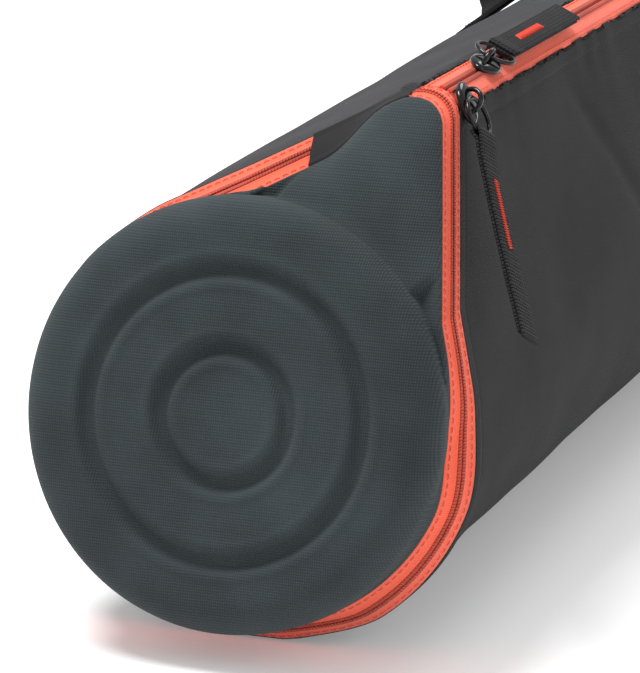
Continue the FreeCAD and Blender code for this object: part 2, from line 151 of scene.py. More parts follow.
GUSSET_END, CORNER = share_of_angle(83.0), -0.03     # the mouth zip runs round between these


def flare(share, offset):
    """How far the mouth band draws in towards the cap, in mm: it faces forward as well as outward."""
    if offset >= 20:
        return 0.0
    point, out, _ = mouth_point(share, 20)
    round_part = smooth(0.30, 0.46, abs(share + 2.0 if share < -1.0 else share))
    steep = 0.27 + 0.42 * max(-out.z, 0.0) ** 1.5 + 0.12 * max(-out.x, 0.0)
    top = 0.45 * smooth(0.05, 0.14, -(share if share >= -1 else share + 2)) * (1 - round_part)
    return (20 - offset) * (steep * round_part + top + 0.05)


def mouth_swell(station, share, out):
    """The soft rim stands a little proud of its form round the sides of the mouth, not on the belly."""
    round_part = smooth(0.40, 0.52, abs(share + 2.0 if share < -1.0 else share))
    return 3.8 * round_part * smooth(-0.99, -0.8, out.z) * math.exp(-(max(station, 0) / 48) ** 2)


def band_point(share, offset):
    """A point of the drawn-in band, its normal and its station."""
    point, out, station = mouth_point(share, offset)
    tilt = 0.5 * flare(share, 10) / 10
    normal = (out + Vector((0, -tilt, 0))).normalized()
    return point - out * (flare(share, offset) - mouth_swell(station, share, out)), normal, station


# ---------------------------------------------------------------- mesh helpers
def mesh_object(name, verts, faces, uvs=None):
    data = bpy.data.meshes.new(name)
    data.from_pydata([v * MM for v in verts], [], faces)
    if uvs:
        layer = data.uv_layers.new(name="UVMap")
        for loop in data.loops:
            u, v = uvs[loop.vertex_index]
            layer.data[loop.index].uv = (u * MM, v * MM)
    data.polygons.foreach_set("use_smooth", [True] * len(data.polygons))
    data.update()
    obj = bpy.data.objects.new(name, data)
    bpy.context.scene.collection.objects.link(obj)
    return obj


def grid_object(name, rows, uvs=None, closed=False):
    """A quad grid from rows of points; closed joins each row's end to its start."""
    wide = len(rows[0])
    verts = [v for row in rows for v in row]
    faces = []
    for r in range(len(rows) - 1):
        for c in range(wide if closed else wide - 1):
            d = (c + 1) % wide
            faces.append((r * wide + c, r * wide + d, (r + 1) * wide + d, (r + 1) * wide + c))
    flat_uv = [u for row in uvs for u in row] if uvs else None
    return mesh_object(name, verts, faces, flat_uv)


def thicken(obj, depth, offset=-1.0):
    mod = obj.modifiers.new("skin", "SOLIDIFY")
    mod.thickness, mod.offset = depth * MM, offset
    return obj


def face_out(obj, points_out):
    """Flips the faces if, summed up, they look inward; points_out(centre) gives the outward direction."""
    total = sum(p.normal.dot(points_out(p.center / MM)) for p in obj.data.polygons)
    if total < 0:
        obj.data.flip_normals()
    return obj


def from_axis(point):
    mid = centre(min(max(point.y - MOUTH, 0), BODY_LEN))
    return Vector((point.x - mid.x, 0, point.z - mid.z))


# share along a stitch and its height above the cloth, in mm: both ends dive into it
STITCH_ARCH = ((-0.5, -0.3), (-0.3, 0.22), (0.0, 0.34), (0.3, 0.22), (0.5, -0.3))


def stitches(name, line, pitch=3.6, length=2.5, radius=0.22):
    """A row of thread stitches along points paired with surface normals."""
    verts, faces = [], []
    travelled, nxt = 0.0, 0.5
    for (a, na), (b, _) in zip(line, line[1:]):
        step = (b - a).length
        if step < 1e-6:
            continue
        along = (b - a) / step
        while nxt < travelled + step:
            mid = a + along * (nxt - travelled)
            side = along.cross(na).normalized()
            base = len(verts)
            for k, (t, lift) in enumerate(STITCH_ARCH):
                for angle in range(5):
                    phi = 2 * math.pi * angle / 5
                    verts.append(mid + along * (length * t) + na * (lift + radius * math.sin(phi))
                                 + side * (radius * math.cos(phi)))
                    if k:
                        low = base + (k - 1) * 5
                        faces.append((low + angle, low + (angle + 1) % 5,
                                      low + 5 + (angle + 1) % 5, low + 5 + angle))
            nxt += pitch
        travelled += step
    return mesh_object(name, verts, faces)


def tube(name, points, radius, closed=False, sides=10):
    """A round wire through points."""
    rows = []
    count = len(points)
    last_side = None
    for i, p in enumerate(points):
        a = points[i - 1] if i or closed else p
        b = points[(i + 1) % count] if i < count - 1 or closed else p
        along = (b - a).normalized()
        guide = last_side or along.orthogonal()
        side = (guide - along * guide.dot(along)).normalized()
        last_side = side
        up = along.cross(side)
        rows.append([p + (side * math.cos(t) + up * math.sin(t)) * radius
                     for t in (2 * math.pi * k / sides for k in range(sides))])
    if closed:
        rows.append(rows[0])
    return grid_object(name, rows, closed=True)


# ---------------------------------------------------------------- materials
def base_material(name, colour, roughness, metallic=0.0, sheen=0.0):
    mat = bpy.data.materials.new(name)
    mat.use_nodes = True
    shader = mat.node_tree.nodes["Principled BSDF"]
    shader.inputs["Base Color"].default_value = (*colour, 1)
    shader.inputs["Roughness"].default_value = roughness
    shader.inputs["Metallic"].default_value = metallic
    shader.inputs["Sheen Weight"].default_value = sheen
    shader.inputs["Specular IOR Level"].default_value = 0.5 if metallic or roughness < 0.5 else 0.16
    return mat, mat.node_tree, shader


def woven(name, colour, roughness, period=(0.9, 0.9), bump=0.25, sheen=0.15, mottling=0.18, coords="UV",
          light=None, ribs=None):
    """Woven cloth: two crossed thread waves as bump and tint, with soft mottling in the colour."""
    mat, tree, shader = base_material(name, colour, roughness, sheen=sheen)
    new, link = tree.nodes.new, tree.links.new
    tex = new("ShaderNodeTexCoord")
    waves = []
    for direction, size in zip("XY", period):
        wave = new("ShaderNodeTexWave")
        wave.bands_direction = direction
        wave.inputs["Scale"].default_value = 314.0 / size
        wave.inputs["Distortion"].default_value = 0.6
        wave.inputs["Detail"].default_value = 1.0
        link(tex.outputs[coords], wave.inputs["Vector"])
        waves.append(wave)
    weave = new("ShaderNodeMath")
    weave.operation = "MULTIPLY"
    link(waves[0].outputs["Fac"], weave.inputs[0])
    link(waves[1].outputs["Fac"], weave.inputs[1])
    cloud = new("ShaderNodeTexNoise")
    cloud.inputs["Scale"].default_value = 22.0
    cloud.inputs["Detail"].default_value = 6.0
    link(tex.outputs["Object"], cloud.inputs["Vector"])
    total = new("ShaderNodeMath")
    total.operation = "MULTIPLY_ADD"
    total.inputs[1].default_value = 0.5
    link(weave.outputs[0], total.inputs[0])
    link(cloud.outputs["Fac"], total.inputs[2])
    ramp = new("ShaderNodeValToRGB")
    dark = tuple(c * (1 - mottling) for c in colour)
    lit = light or tuple(min(1.0, c * (1 + 1.6 * mottling)) for c in colour)
    ramp.color_ramp.elements[0].position, ramp.color_ramp.elements[1].position = 0.35, 0.95
    ramp.color_ramp.elements[0].color, ramp.color_ramp.elements[1].color = (*dark, 1), (*lit, 1)
    link(total.outputs[0], ramp.inputs["Fac"])
    link(ramp.outputs["Color"], shader.inputs["Base Color"])
    height = weave.outputs[0]
    if ribs:
        rib = new("ShaderNodeTexWave")
        rib.bands_direction = ribs[0]
        rib.inputs["Scale"].default_value = 314.0 / ribs[1]
        link(tex.outputs[coords], rib.inputs["Vector"])
        both = new("ShaderNodeMath")
        both.operation = "MULTIPLY_ADD"
        both.inputs[1].default_value = ribs[2]
        link(rib.outputs["Fac"], both.inputs[0])
        link(height, both.inputs[2])
        height = both.outputs[0]
    relief = new("ShaderNodeBump")
    relief.inputs["Strength"].default_value = bump
    relief.inputs["Distance"].default_value = 0.0006
    link(height, relief.inputs["Height"])
    link(relief.outputs["Normal"], shader.inputs["Normal"])
    return mat


CHARCOAL = woven("charcoal_cloth", (0.030, 0.030, 0.032), 0.85, (1.1, 0.8), 0.5, 0.03, 0.3,
                 ribs=("X", 2.4, 0.35))
# Same charcoal cloth as the top panel, painted darker: painted shade for the side panel, which faces away
# from the key light.
SHADE_PAINTED_SIDE_CLOTH = woven("side_cloth_painted_shade", (0.020, 0.020, 0.021), 0.85, (1.0, 0.8), 0.45, 0.02, 0.25)
CAP_CLOTH = woven("cap_cloth", (0.030, 0.038, 0.041), 0.86, (0.9, 1.1), 0.5, 0.03, 0.3, ribs=("Y", 2.6, 0.18))
DARK_CLOTH = woven("dark_cloth", (0.014, 0.014, 0.015), 0.85, (0.9, 0.9), 0.4, 0.02, 0.25)
WEBBING = woven("webbing", (0.010, 0.010, 0.011), 0.7, (1.6, 1.1), 0.9, 0.02, 0.35, ribs=("Y", 1.6, 1.4))
ZIP_RED = woven("zip_tape", (0.80, 0.105, 0.05), 0.62, (0.8, 0.9), 0.35, 0.2, 0.10)
ZIP_RIB = woven("zip_rib", (0.62, 0.07, 0.035), 0.55, (1.3, 9.0), 0.9, 0.1, 0.35, ribs=("X", 1.3, 2.0))
THREAD = base_material("dark_thread", (0.03, 0.03, 0.032), 0.6)[0]
RED_THREAD = base_material("red_thread", (0.62, 0.06, 0.035), 0.5)[0]
ZIP_THREAD = base_material("zip_thread", (0.72, 0.13, 0.07), 0.55)[0]
GLOSS = base_material("slider_gloss", (0.012, 0.012, 0.013), 0.12, 0.55)[0]
WIRE = base_material("ring_wire", (0.03, 0.03, 0.032), 0.25, 0.9)[0]
PLASTIC = base_material("black_plastic", (0.014, 0.014, 0.014), 0.45)[0]
FOAM = woven("foam_edge", (0.05, 0.05, 0.055), 0.95, (2.0, 2.0), 0.3, 0.0, 0.3, coords="Object")
LINING = woven("lining_cloth", (0.10, 0.10, 0.11), 0.5, (0.7, 0.7), 0.25, 0.3, 0.15, coords="Object")


def paint(obj, mat):
    obj.data.materials.clear()
    obj.data.materials.append(mat)
    return obj


def piece(obj, mat, slot, body, *nodes):
    paint(obj, mat)
    if nodes:
        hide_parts(*nodes)
    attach(obj, body)
    return obj


# ---------------------------------------------------------------- the body's skin
def skin_bump(point, out, station, along):
    """How far the soft skin stands off its form: broad slackness, a dent behind the cap, puckers by seams."""
    soft = noise.noise(Vector((point.x * 0.011, point.y * 0.006, point.z * 0.011))) * 1.5
    fine = noise.noise(Vector((point.x * 0.035, point.y * 0.02, point.z * 0.035 + 9))) * 0.55
    dent = -4.5 * math.exp(-((station - 62) / 26) ** 2 - ((along + 62) / 26) ** 2)
    swell = 1.2 * math.exp(-((station - 120) / 50) ** 2 - ((along + 50) / 40) ** 2)
    tuck = -1.6 * math.exp(-((station - 190 - along * 0.9) / 9) ** 2) * smooth(16, 40, along) * (
        1 - smooth(90, 120, along))
    pucker = 0.35 * math.sin(station * 0.21 + 2 * math.sin(station * 0.05)) * math.exp(
        -max(abs(along) - 14, 0) / 12)
    belly = smooth(0.5, 6.0, point.z)
    fade = 1 - smooth(BODY_LEN - 30, BODY_LEN - 5, station)
    rubbed = math.exp(-((station - 75) / 60) ** 2) * smooth(8, 14, along) * (1 - smooth(115, 135, along))
    total = (soft + fine + dent + swell + tuck + pucker) * (1 - rubbed) - 0.9 * rubbed
    return total * belly * fade - 0.4 * belly


def edge_strip(distance):
    """The folded, top-stitched edge beside a zip: proud for 7 mm, then a groove."""
    return 0.9 * (1 - smooth(6.0, 8.5, distance)) - 0.5 * math.exp(-((distance - 8.2) / 1.2) ** 2)


def skin_rows(first, last, columns, rows):
    """Rows of skin points from the mouth to the tail, between two shares of the half perimeter."""
    grid, uvs = [], []
    fronts = []
    for c in range(columns + 1):
        share = mix(first, last, c / columns)
        fronts.append((share, mouth_point(share, 20)[2]))
    for r in range(rows + 1):
        depth = (r / rows) ** 1.25
        line, uv = [], []
        for share, front in fronts:
            station = mix(front, BODY_LEN - 0.5, depth)
            half = perimeter(station) / 2
            along = share * half
            if abs(along) < 10.2:
                along = math.copysign(10.2, share)
            point, out = outline(station, along)
            lift = skin_bump(point, out, station, along)
            lift += edge_strip(abs(along) - 10) + edge_strip(station - front)
            swell = mouth_swell(station, share, out)
            edge_fade = smooth(0.0, 3.0, min(station - front, abs(along) - 9.6))
            point = point + out * (lift * edge_fade + swell)
            point.z = max(point.z, 0.0)
            line.append(point)
            uv.append((station, along))
        grid.append(line)
        uvs.append(uv)
    return grid, uvs


COLS, ROWS = 150, 230
# The side skin takes the darker copy of the top panel's cloth: painted shade.
for label, mat in (("top_skin", CHARCOAL), ("side_skin", SHADE_PAINTED_SIDE_CLOTH)):
    rows, uvs = [], []
    if label == "top_skin":
        rows, uvs = skin_rows(-0.72, -0.0001, COLS, ROWS)
    else:
        right, uv_right = skin_rows(0.0001, 1.0, COLS, ROWS)
        left, uv_left = skin_rows(-1.0, -0.72, 40, ROWS)
        for a, b, ua, ub in zip(right, left, uv_right, uv_left):
            rows.append(a + b[1:])
            wrap = ua[-1][1] - ub[0][1]
            uvs.append(ua + [(s, t + wrap) for s, t in ub[1:]])
    skin = grid_object(label, rows, uvs)
    face_out(skin, from_axis)
    thicken(skin, 0.9)
    piece(skin, mat, "charcoal_fabric", "case", *(["outer_shell"] if label == "top_skin" else []))

seam_line = []
for k in range(260):
    station = mix(25, BODY_LEN - 4, k / 259)
    point, out = outline_share(station, -0.72)
    seam_line.append((point + out * 0.5, out))
piece(tube("side_seam_cord", [p for p, _ in seam_line], 1.1, sides=8), DARK_CLOTH, "charcoal_fabric", "case")

cover = []
cover_uv = []
for k in range(24):
    station = mix(ZIP_STOP + 1, BODY_LEN - 0.6, k / 23)
    cover.append([outline(station, t)[0] for t in (-11, -8, -5, -2.5, 0, 2.5, 5, 8, 11)])
    cover_uv.append([(station, t) for t in (-11, -8, -5, -2.5, 0, 2.5, 5, 8, 11)])
ridge_cover = face_out(grid_object("ridge_tail_skin", cover, cover_uv), from_axis)
piece(thicken(ridge_cover, 0.9), CHARCOAL, "charcoal_fabric", "case")


# ---------------------------------------------------------------- zip tapes
def mouth_strip(name, first, last, low, high, profile, columns=240, across=8):
    """A strip that follows the mouth between two offsets; profile(share across) is the lift in mm."""
    rows, uvs, run = [], [], 0.0
    before = None
    for c in range(columns + 1):
        share = mix(first, last, c / columns)
        line, uv = [], []
        for k in range(across + 1):
            q = k / across
            point, out, _ = band_point(share, mix(low, high, q))
            lifted = point + out * profile(q)
            lifted.z = max(lifted.z, 0.0)
            line.append(lifted)
            uv.append(q * abs(high - low))
        if before:
            run += (line[0] - before).length
        before = line[0]
        rows.append(line)
        uvs.append([(run, v) for v in uv])
    return face_out(grid_object(name, rows, uvs), from_axis)


def ridge_strip(name, start, stop, low, high, profile, rows_count=320, across=6):
    rows, uvs = [], []
    for r in range(rows_count + 1):
        station = mix(start, stop, r / rows_count)
        line, uv = [], []
        for k in range(across + 1):
            q = k / across
            point, out = outline(station, mix(low, high, q))
            line.append(point + out * profile(q))
            uv.append((station, q * abs(high - low)))
        rows.append(line)
        uvs.append(uv)
    return face_out(grid_object(name, rows, uvs), from_axis)


def tape_profile(q):
    """Flat by the seam, swelling to the folded lip beside the slit."""
    return -0.25 + 0.95 * smooth(0.55, 0.9, q) - 0.9 * smooth(0.97, 1.0, q)


def rib_profile(q):
    return 0.5 * math.sin(math.pi * q) ** 0.6


RIDGE_FRONT = mouth_point(0.0, 20)[2]
for name, low, high, body, node in (("cap_zip_lip", 0.1, 9.6, "end_cap", "cap_zip_tape"),
                                    ("mouth_zip_lip", 19.9, 10.4, "case", "mouth_zip_tape")):
    strip = mouth_strip(name, CORNER - 2.0, GUSSET_END, low, high, tape_profile, 420)
    thicken(strip, 0.7)
    piece(strip, ZIP_RED, "red_zip", body, node)
    side = 1 if low < high else -1
    teeth = mouth_strip(name + "_ribs", CORNER - 2.0, GUSSET_END, high - side * 2.2, high - side * 0.1,
                        lambda q: 0.62 + rib_profile(q) * 0.5, 420, 4)
    piece(thicken(teeth, 0.5), ZIP_RIB, "red_zip", body, node.replace("tape", "coil"))
    line = [band_point(mix(CORNER - 2.0, GUSSET_END, k / 400), low + side * 2.6) for k in range(401)]
    row = stitches(name + "_stitches", [(p - n * 0.05, n) for p, n, _ in line if p.z > 1.2])
    piece(row, ZIP_THREAD, "red_zip", body)

for name, low, high, node in (("ridge_lip_top", -9.9, -0.4, "long_zip_tape_top"),
                              ("ridge_lip_side", 9.9, 0.4, "long_zip_tape_side")):
    strip = ridge_strip(name, RIDGE_FRONT, ZIP_STOP, low, high, tape_profile)
    piece(thicken(strip, 0.7), ZIP_RED, "red_zip", "case", node)
    side = 1 if low < high else -1
    teeth = ridge_strip(name + "_ribs", RIDGE_FRONT, ZIP_STOP, high - side * 2.2, high - side * 0.1,
                        lambda q: 0.62 + rib_profile(q) * 0.5, 320, 4)
    piece(thicken(teeth, 0.5), ZIP_RIB, "red_zip", "case")
    line = [outline(mix(RIDGE_FRONT, ZIP_STOP, k / 300), low + side * 2.6) for k in range(301)]
    piece(stitches(name + "_stitches", [(p - n * 0.05, n) for p, n in line]), ZIP_THREAD, "red_zip", "case")

rows, uvs = [], []
for c in range(321):
    share = mix(-2.0, 0.0, c / 320)
    line, uv = [], []
    for k in range(13):
        q = k / 12
        point, out, _ = mouth_point(share, 20 - 0.9 * math.sin(math.pi * q))
        lift = point - out * (0.6 + 8.6 * q)
        lift.z = max(lift.z, 0.4)
        line.append(lift)
        uv.append((c * 2.0, q * 9))
    rows.append(line)
    uvs.append(uv)
binding = face_out(grid_object("mouth_binding", rows, uvs), lambda p: Vector((0, -1, 0)))
piece(thicken(binding, 0.8), DARK_CLOTH, "padding_foam", "case", "foam_padding")


# ---------------------------------------------------------------- stitching along the skin's folded edges
def skin_spot(point, out, station, along):
    return point + out * (skin_bump(point, out, station, along) + 0.35), out


def mouth_row(first, last, offset):
    line = []
    for k in range(301):
        share = mix(first, last, k / 300)
        point, out, station = mouth_point(share, offset)
        point, out = skin_spot(point, out, station, share * perimeter(station) / 2)
        line.append((point + out * mouth_swell(station, share, out), out))
    return line


def ridge_row(first, last, along):
    stations = [mix(first, last, k / 300) for k in range(301)]
    return [skin_spot(*outline(station, along), station, along) for station in stations]


edge_rows = [
    ("mouth_top_stitch", mouth_row(-0.98, -0.05, 26.0)),
    ("mouth_side_stitch", mouth_row(0.09, 0.96, 26.0)),
    ("ridge_top_stitch", ridge_row(RIDGE_FRONT + 8, BODY_LEN - 90, -16.0)),
    ("ridge_side_stitch", ridge_row(RIDGE_FRONT + 2, BODY_LEN - 90, 16.0)),
]
for name, line in edge_rows:
    row = stitches(name, [(p, n) for p, n in line if p.z > 1.5], radius=0.25)
    piece(row, THREAD, "charcoal_fabric", "case")

# ---------------------------------------------------------------- hinge gusset between case and cap
rows, uvs = [], []
for c in range(61):
    share = mix(GUSSET_END, CORNER, c / 60)
    line, uv = [], []
    for k in range(17):
        q = k / 16
        point, out, _ = band_point(share, mix(-0.5, 20.5, q))
        seams = 0.7 * math.exp(-((q - 0.08) / 0.05) ** 2) + 0.7 * math.exp(-((q - 0.92) / 0.05) ** 2)
        line.append(point + out * (0.25 + seams + 0.8 * math.sin(math.pi * q)))
        uv.append((c * 1.2, q * 21))
    rows.append(line)
    uvs.append(uv)
gusset = face_out(grid_object("gusset", rows, uvs), from_axis)
thicken(gusset, 0.9)
paint(gusset, DARK_CLOTH)
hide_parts("hinge_gusset_rear", "hinge_gusset_front")
bpy.context.view_layer.objects.active = gusset
gusset.select_set(True)
bpy.ops.object.modifier_apply(modifier="skin")
rear, front = mouth_point(GUSSET_END / 2, 13)[0] * MM, mouth_point(GUSSET_END / 2, 7)[0] * MM
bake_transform(gusset)

# ---------------------------------------------------------------- moulded end cap
FACE_LEAN = math.radians(13.0)
FACE_OUT = Vector((0, -math.cos(FACE_LEAN), math.sin(FACE_LEAN)))
FACE_UP = Vector((0, math.sin(FACE_LEAN), math.cos(FACE_LEAN)))
CAP_MID = centre(0) + Vector((1.5, 0, 4.6))
DOME_RAD, DOME_DEPTH, DOME_ROUND = 84.5, 23.0, 13.0
GROOVE_RADII, GROOVE_HALF, GROOVE_DEPTH = (26.0, 56.0), 3.5, 3.0


def groove_depth(x, z):
    """Two plain round grooves about the cap's middle, each with a soft raised lip."""
    off_line = min(abs(math.hypot(x, z) - radius) for radius in GROOVE_RADII)
    sunk = GROOVE_DEPTH * (1 - smooth(GROOVE_HALF - 2.2, GROOVE_HALF + 1.6, off_line))
    lip = 0.4 * math.exp(-((off_line - GROOVE_HALF - 3.0) / 1.6) ** 2)
    return sunk - lip


def ring_share(angle):
    """Share round the mouth for a direction about the cap's middle."""
    low, high = APEX - 2 * math.pi, APEX
    wanted = angle
    while wanted > high:
        wanted -= 2 * math.pi
    while wanted < low:
        wanted += 2 * math.pi
    a, b = 0.0, 2.0
    for _ in range(26):
        guess = (a + b) / 2
        share = guess if guess <= 1 else guess - 2
        rel = mouth_point(share, 0)[0] - CAP_MID
        at = math.atan2(rel.z, rel.x)
        while at > high:
            at -= 2 * math.pi
        while at < low:
            at += 2 * math.pi
        a, b = (guess, b) if at > wanted else (a, guess)
    share = (a + b) / 2
    return share if share <= 1 else share - 2


rows, uvs = [], []
COLUMNS = 288
columns = []
for c in range(COLUMNS):
    angle = 2 * math.pi * c / COLUMNS
    spoke = Vector((math.cos(angle), 0, 0)) + FACE_UP * math.sin(angle)
    edge, out, _ = band_point(ring_share(angle), 0.0)
    columns.append((spoke, edge, out))
smooth_lines = []
for spoke, edge, out in columns:
    side_foot = CAP_MID + spoke * DOME_RAD
    gap = edge - CAP_MID
    reach = (gap - FACE_OUT * gap.dot(FACE_OUT)).length
    foot_level = mix(gap.dot(FACE_OUT) + 3.0, 7.0, 0.55) if reach < 96 else 8.5
    foot = side_foot + FACE_OUT * foot_level
    tuck = edge - out * 0.6
    shoulder = edge + FACE_OUT * 3.5 - out * 0.4
    line = [tuck, edge + FACE_OUT * 1.2 + out * 0.25, shoulder]
    for k in range(1, 9):
        t = k / 9
        bend = shoulder.lerp(foot, t)
        line.append(bend + FACE_OUT * (1.3 * math.sin(math.pi * t)) * (1 if reach > 96 else 0.3))
    line.append(foot)
    top = DOME_DEPTH - DOME_ROUND
    for k in range(0, 11):
        t = math.pi / 2 * k / 10
        line.append(CAP_MID + spoke * (DOME_RAD - DOME_ROUND * (1 - math.cos(t)))
                    + FACE_OUT * (top + DOME_ROUND * math.sin(t)))
    for k in range(1, 108):
        radius = (DOME_RAD - DOME_ROUND) * (1 - k / 108)
        line.append(CAP_MID + spoke * radius + FACE_OUT * (DOME_DEPTH + 0.8 * (1 - (radius / 73) ** 2)))
    smooth_lines.append(line)
pressed_lines = []
for line in smooth_lines:
    shifted = []
    for p in line:
        rel = p - CAP_MID
        x, z, level = rel.x, rel.dot(FACE_UP), rel.dot(FACE_OUT)
        if level > DOME_DEPTH - DOME_ROUND:
            face_share = smooth(DOME_DEPTH - DOME_ROUND, DOME_DEPTH - 4, level)
            p = p - FACE_OUT * (groove_depth(x, z) * face_share)
            p = p + FACE_OUT * 0.18 * noise.noise(Vector((x * 0.05, z * 0.05, 3)))
        p.z = max(p.z, 0.0)
        shifted.append(p)
    pressed_lines.append(shifted)
grid = [list(row) for row in zip(*pressed_lines)]
grid_uv = [[((p - CAP_MID).x, (p - CAP_MID).dot(FACE_UP)) for p in row] for row in grid]
cap_skin = grid_object("cap_skin", grid, grid_uv, closed=True)
middle = bmesh.new()
middle.from_mesh(cap_skin.data)
bmesh.ops.contextual_create(middle, geom=[e for e in middle.edges if e.is_boundary and
                                          (e.verts[0].co / MM - CAP_MID - FACE_OUT * DOME_DEPTH).length < 8])
middle.to_mesh(cap_skin.data)
middle.free()
face_out(cap_skin, lambda p: (p - CAP_MID + FACE_OUT * 60))
thicken(cap_skin, 1.2)
piece(cap_skin, CAP_CLOTH, "cap_fabric", "end_cap", "cap_shell")


# ---------------------------------------------------------------- sliders and pulls
def frame_of(origin, along, out):
    across = out.cross(along).normalized()
    return Matrix(((along.x, across.x, out.x, origin.x), (along.y, across.y, out.y, origin.y),
                   (along.z, across.z, out.z, origin.z), (0, 0, 0, 1)))


def placed(verts, matrix):
    return [matrix @ Vector(v) for v in verts]


def dome_mesh(name, outline_points, heights, matrix):
    """Stacked outlines that shrink as they rise: a rounded pressed shell."""
    rows = []
    for scale, z in heights:
        rows.append(placed([(x * scale, y * scale, z) for x, y in outline_points], matrix))
    rows.append(placed([(x * 0.02, y * 0.02, heights[-1][1]) for x, y in outline_points], matrix))
    return grid_object(name, rows, closed=True)


SLIDER_OUTLINE = []
for k in range(40):
    phi = 2 * math.pi * k / 40
    x = 9.5 * math.cos(phi)
    waist = 6.6 - 1.6 * smooth(2, 9, -x) + 0.5 * math.sin(phi) ** 2
    SLIDER_OUTLINE.append((x, waist * math.sin(phi) * (0.9 + 0.1 * math.cos(phi) ** 2)))


def webbing_strip(name, path, wide, thick, matrix):
    """A ribbed flat strip along (x, z) points in a local frame, with soft edges."""
    half, rows, uvs, run = wide / 2, [], [], 0.0
    face, shoulder = thick / 2, half - 0.5
    section = [(-half, 0), (-shoulder, face), (-half * 0.4, face + 0.1), (half * 0.4, face + 0.1),
               (shoulder, face), (half, 0), (shoulder, -face), (0, -face), (-shoulder, -face)]
    for i, (x, z) in enumerate(path):
        ax, az = path[max(i - 1, 0)]
        bx, bz = path[min(i + 1, len(path) - 1)]
        length = math.hypot(bx - ax, bz - az)
        nx, nz = -(bz - az) / length, (bx - ax) / length
        if i:
            run += math.hypot(x - path[i - 1][0], z - path[i - 1][1])
        rows.append(placed([(x + nx * t, y, z + nz * t) for y, t in section], matrix))
        uvs.append([(y, run) for y, t in section])
    strip = grid_object(name, rows, uvs, closed=True)
    ends = bmesh.new()
    ends.from_mesh(strip.data)
    bmesh.ops.holes_fill(ends, edges=[e for e in ends.edges if e.is_boundary], sides=0)
    bmesh.ops.recalc_face_normals(ends, faces=ends.faces)
    ends.to_mesh(strip.data)
    ends.free()
    return strip


# scale of the slider's outline and its height, in mm, from the tape up to the crown
SLIDER_LAYERS = [(0.93, 0.0), (1.0, 0.3), (1.0, 1.2), (0.95, 1.9), (0.8, 2.5), (0.5, 2.85), (0.25, 2.95)]


def slider_pieces(prefix, body, matrix):
    shell = dome_mesh(prefix + "_shell", SLIDER_OUTLINE, SLIDER_LAYERS, matrix)
    shell.data.update()
    piece(shell, GLOSS, "black_metal", body, prefix + "_plate")
    arch = [Vector((5.1 * math.cos(t), 0, 2.2 + 5.2 * math.sin(t))) for t in
            (math.pi * k / 16 for k in range(17))]
    bail = tube(prefix + "_arch", [matrix @ p for p in arch], 1.05, sides=10)
    piece(bail, GLOSS, "black_metal", body, prefix + "_bail")


RING_RADIUS, PULL_LEN, PULL_WIDE = 8.0, 88.0, 12.0
LOOP_RADIUS, WEB_THICK, TACK_START, TACK_LEN = 1.75, 1.25, 36.5, 30.0


def pull_pieces(prefix, body, bail_at, along, out, tilt, sag):
    """A wire ring through the bail and a webbing strap folded over it; tilt in degrees dips it inward."""
    lean = math.radians(tilt)
    run = (along * math.cos(lean) - out * math.sin(lean)).normalized()
    up = (out * math.cos(lean) + along * math.sin(lean)).normalized()
    matrix = frame_of(bail_at, run, up)
    circle = [matrix @ Vector((RING_RADIUS * (1 + math.cos(t)), RING_RADIUS * math.sin(t), 0)) for t in
              (2 * math.pi * k / 40 for k in range(40))]
    piece(tube(prefix + "_wire", circle, 0.9, closed=True), WIRE, "black_metal", body, prefix + "_ring")
    top = 2 * RING_RADIUS
    loop = [(top + LOOP_RADIUS * math.cos(t), LOOP_RADIUS * math.sin(t)) for t in
            (-math.pi / 2 - math.pi * k / 12 for k in range(13))]
    front, back = [], []
    for k in range(1, 41):
        q = k / 40
        x = top + 1.2 + PULL_LEN * q
        opening = 1 - smooth(0, 0.1, q)
        z = 0.72 + opening - sag * math.sin(math.pi * q)
        front.append((x, z))
        back.append((x - 1.5 * q, z - 1.45 - 0.5 * opening))
    path = list(reversed(back)) + loop + front
    tip = [(front[-1][0] + 0.75 * math.cos(t), front[-1][1] - 0.72 + 0.75 * math.sin(t)) for t in
           (math.pi / 2 - math.pi * k / 6 for k in range(1, 4))]
    strap = webbing_strip(prefix + "_strap", path + tip, PULL_WIDE, WEB_THICK, matrix)
    piece(strap, WEBBING, "black_webbing", body, prefix + "_webbing")
    zigzag = []
    for k in range(57):
        x = TACK_START + TACK_LEN * k / 56
        q = (x - top - 1.2) / PULL_LEN
        zigzag.append(matrix @ Vector((x, 1.5 * (1 if k % 2 else -1), 1.5 - sag * math.sin(math.pi * q))))
    piece(tube(prefix + "_tack", zigzag, 0.36, sides=6), RED_THREAD, "red_zip", body, prefix + "_bar_tack")


JOINTS = {joint["name"]: joint for joint in frame["joints"]}


def joint_place(name):
    return Vector(JOINTS[name]["pos_m"]) / MM


def joint_axis(name):
    return Vector(JOINTS[name]["axis"]).normalized()


def square_to(vector, axis):
    """The part of a vector that stands square to an axis."""
    return (vector - axis * vector.dot(axis)).normalized()


SLIDER_A_TURN = 0.62                                  # how far round the ridge slider A sits, in radians
BAIL_HEIGHT = 4.6
PULL_TWIST, PULL_A_LIFT, PULL_B_DIP = 7.0, 12.0, 0.3  # degrees
RIDGE_ALONG = joint_axis("slider_b_travel")
RIDGE_OUT = square_to(APEX_DIR, RIDGE_ALONG)
EDGE_DOWN = (mouth_point(0.2, 20)[0] - mouth_point(0.06, 20)[0]).normalized()
FLANK_OUT = square_to(outline(20, 60)[1], EDGE_DOWN)
PULL_A = FLANK_OUT.cross(joint_axis("pull_a_swing")).normalized()
SLIDER_A_OUT = square_to(turn(APEX - SLIDER_A_TURN), RIDGE_ALONG)
SLIDER_A_ALONG = square_to(EDGE_DOWN, SLIDER_A_OUT)
BAIL_A, BAIL_B = joint_place("pull_a_swing"), joint_place("pull_b_swing")
slider_a_foot, slider_b_foot = BAIL_A - SLIDER_A_OUT * BAIL_HEIGHT, BAIL_B - RIDGE_OUT * BAIL_HEIGHT
slider_pieces("slider_a", "slider_a", frame_of(slider_a_foot, SLIDER_A_ALONG, SLIDER_A_OUT))
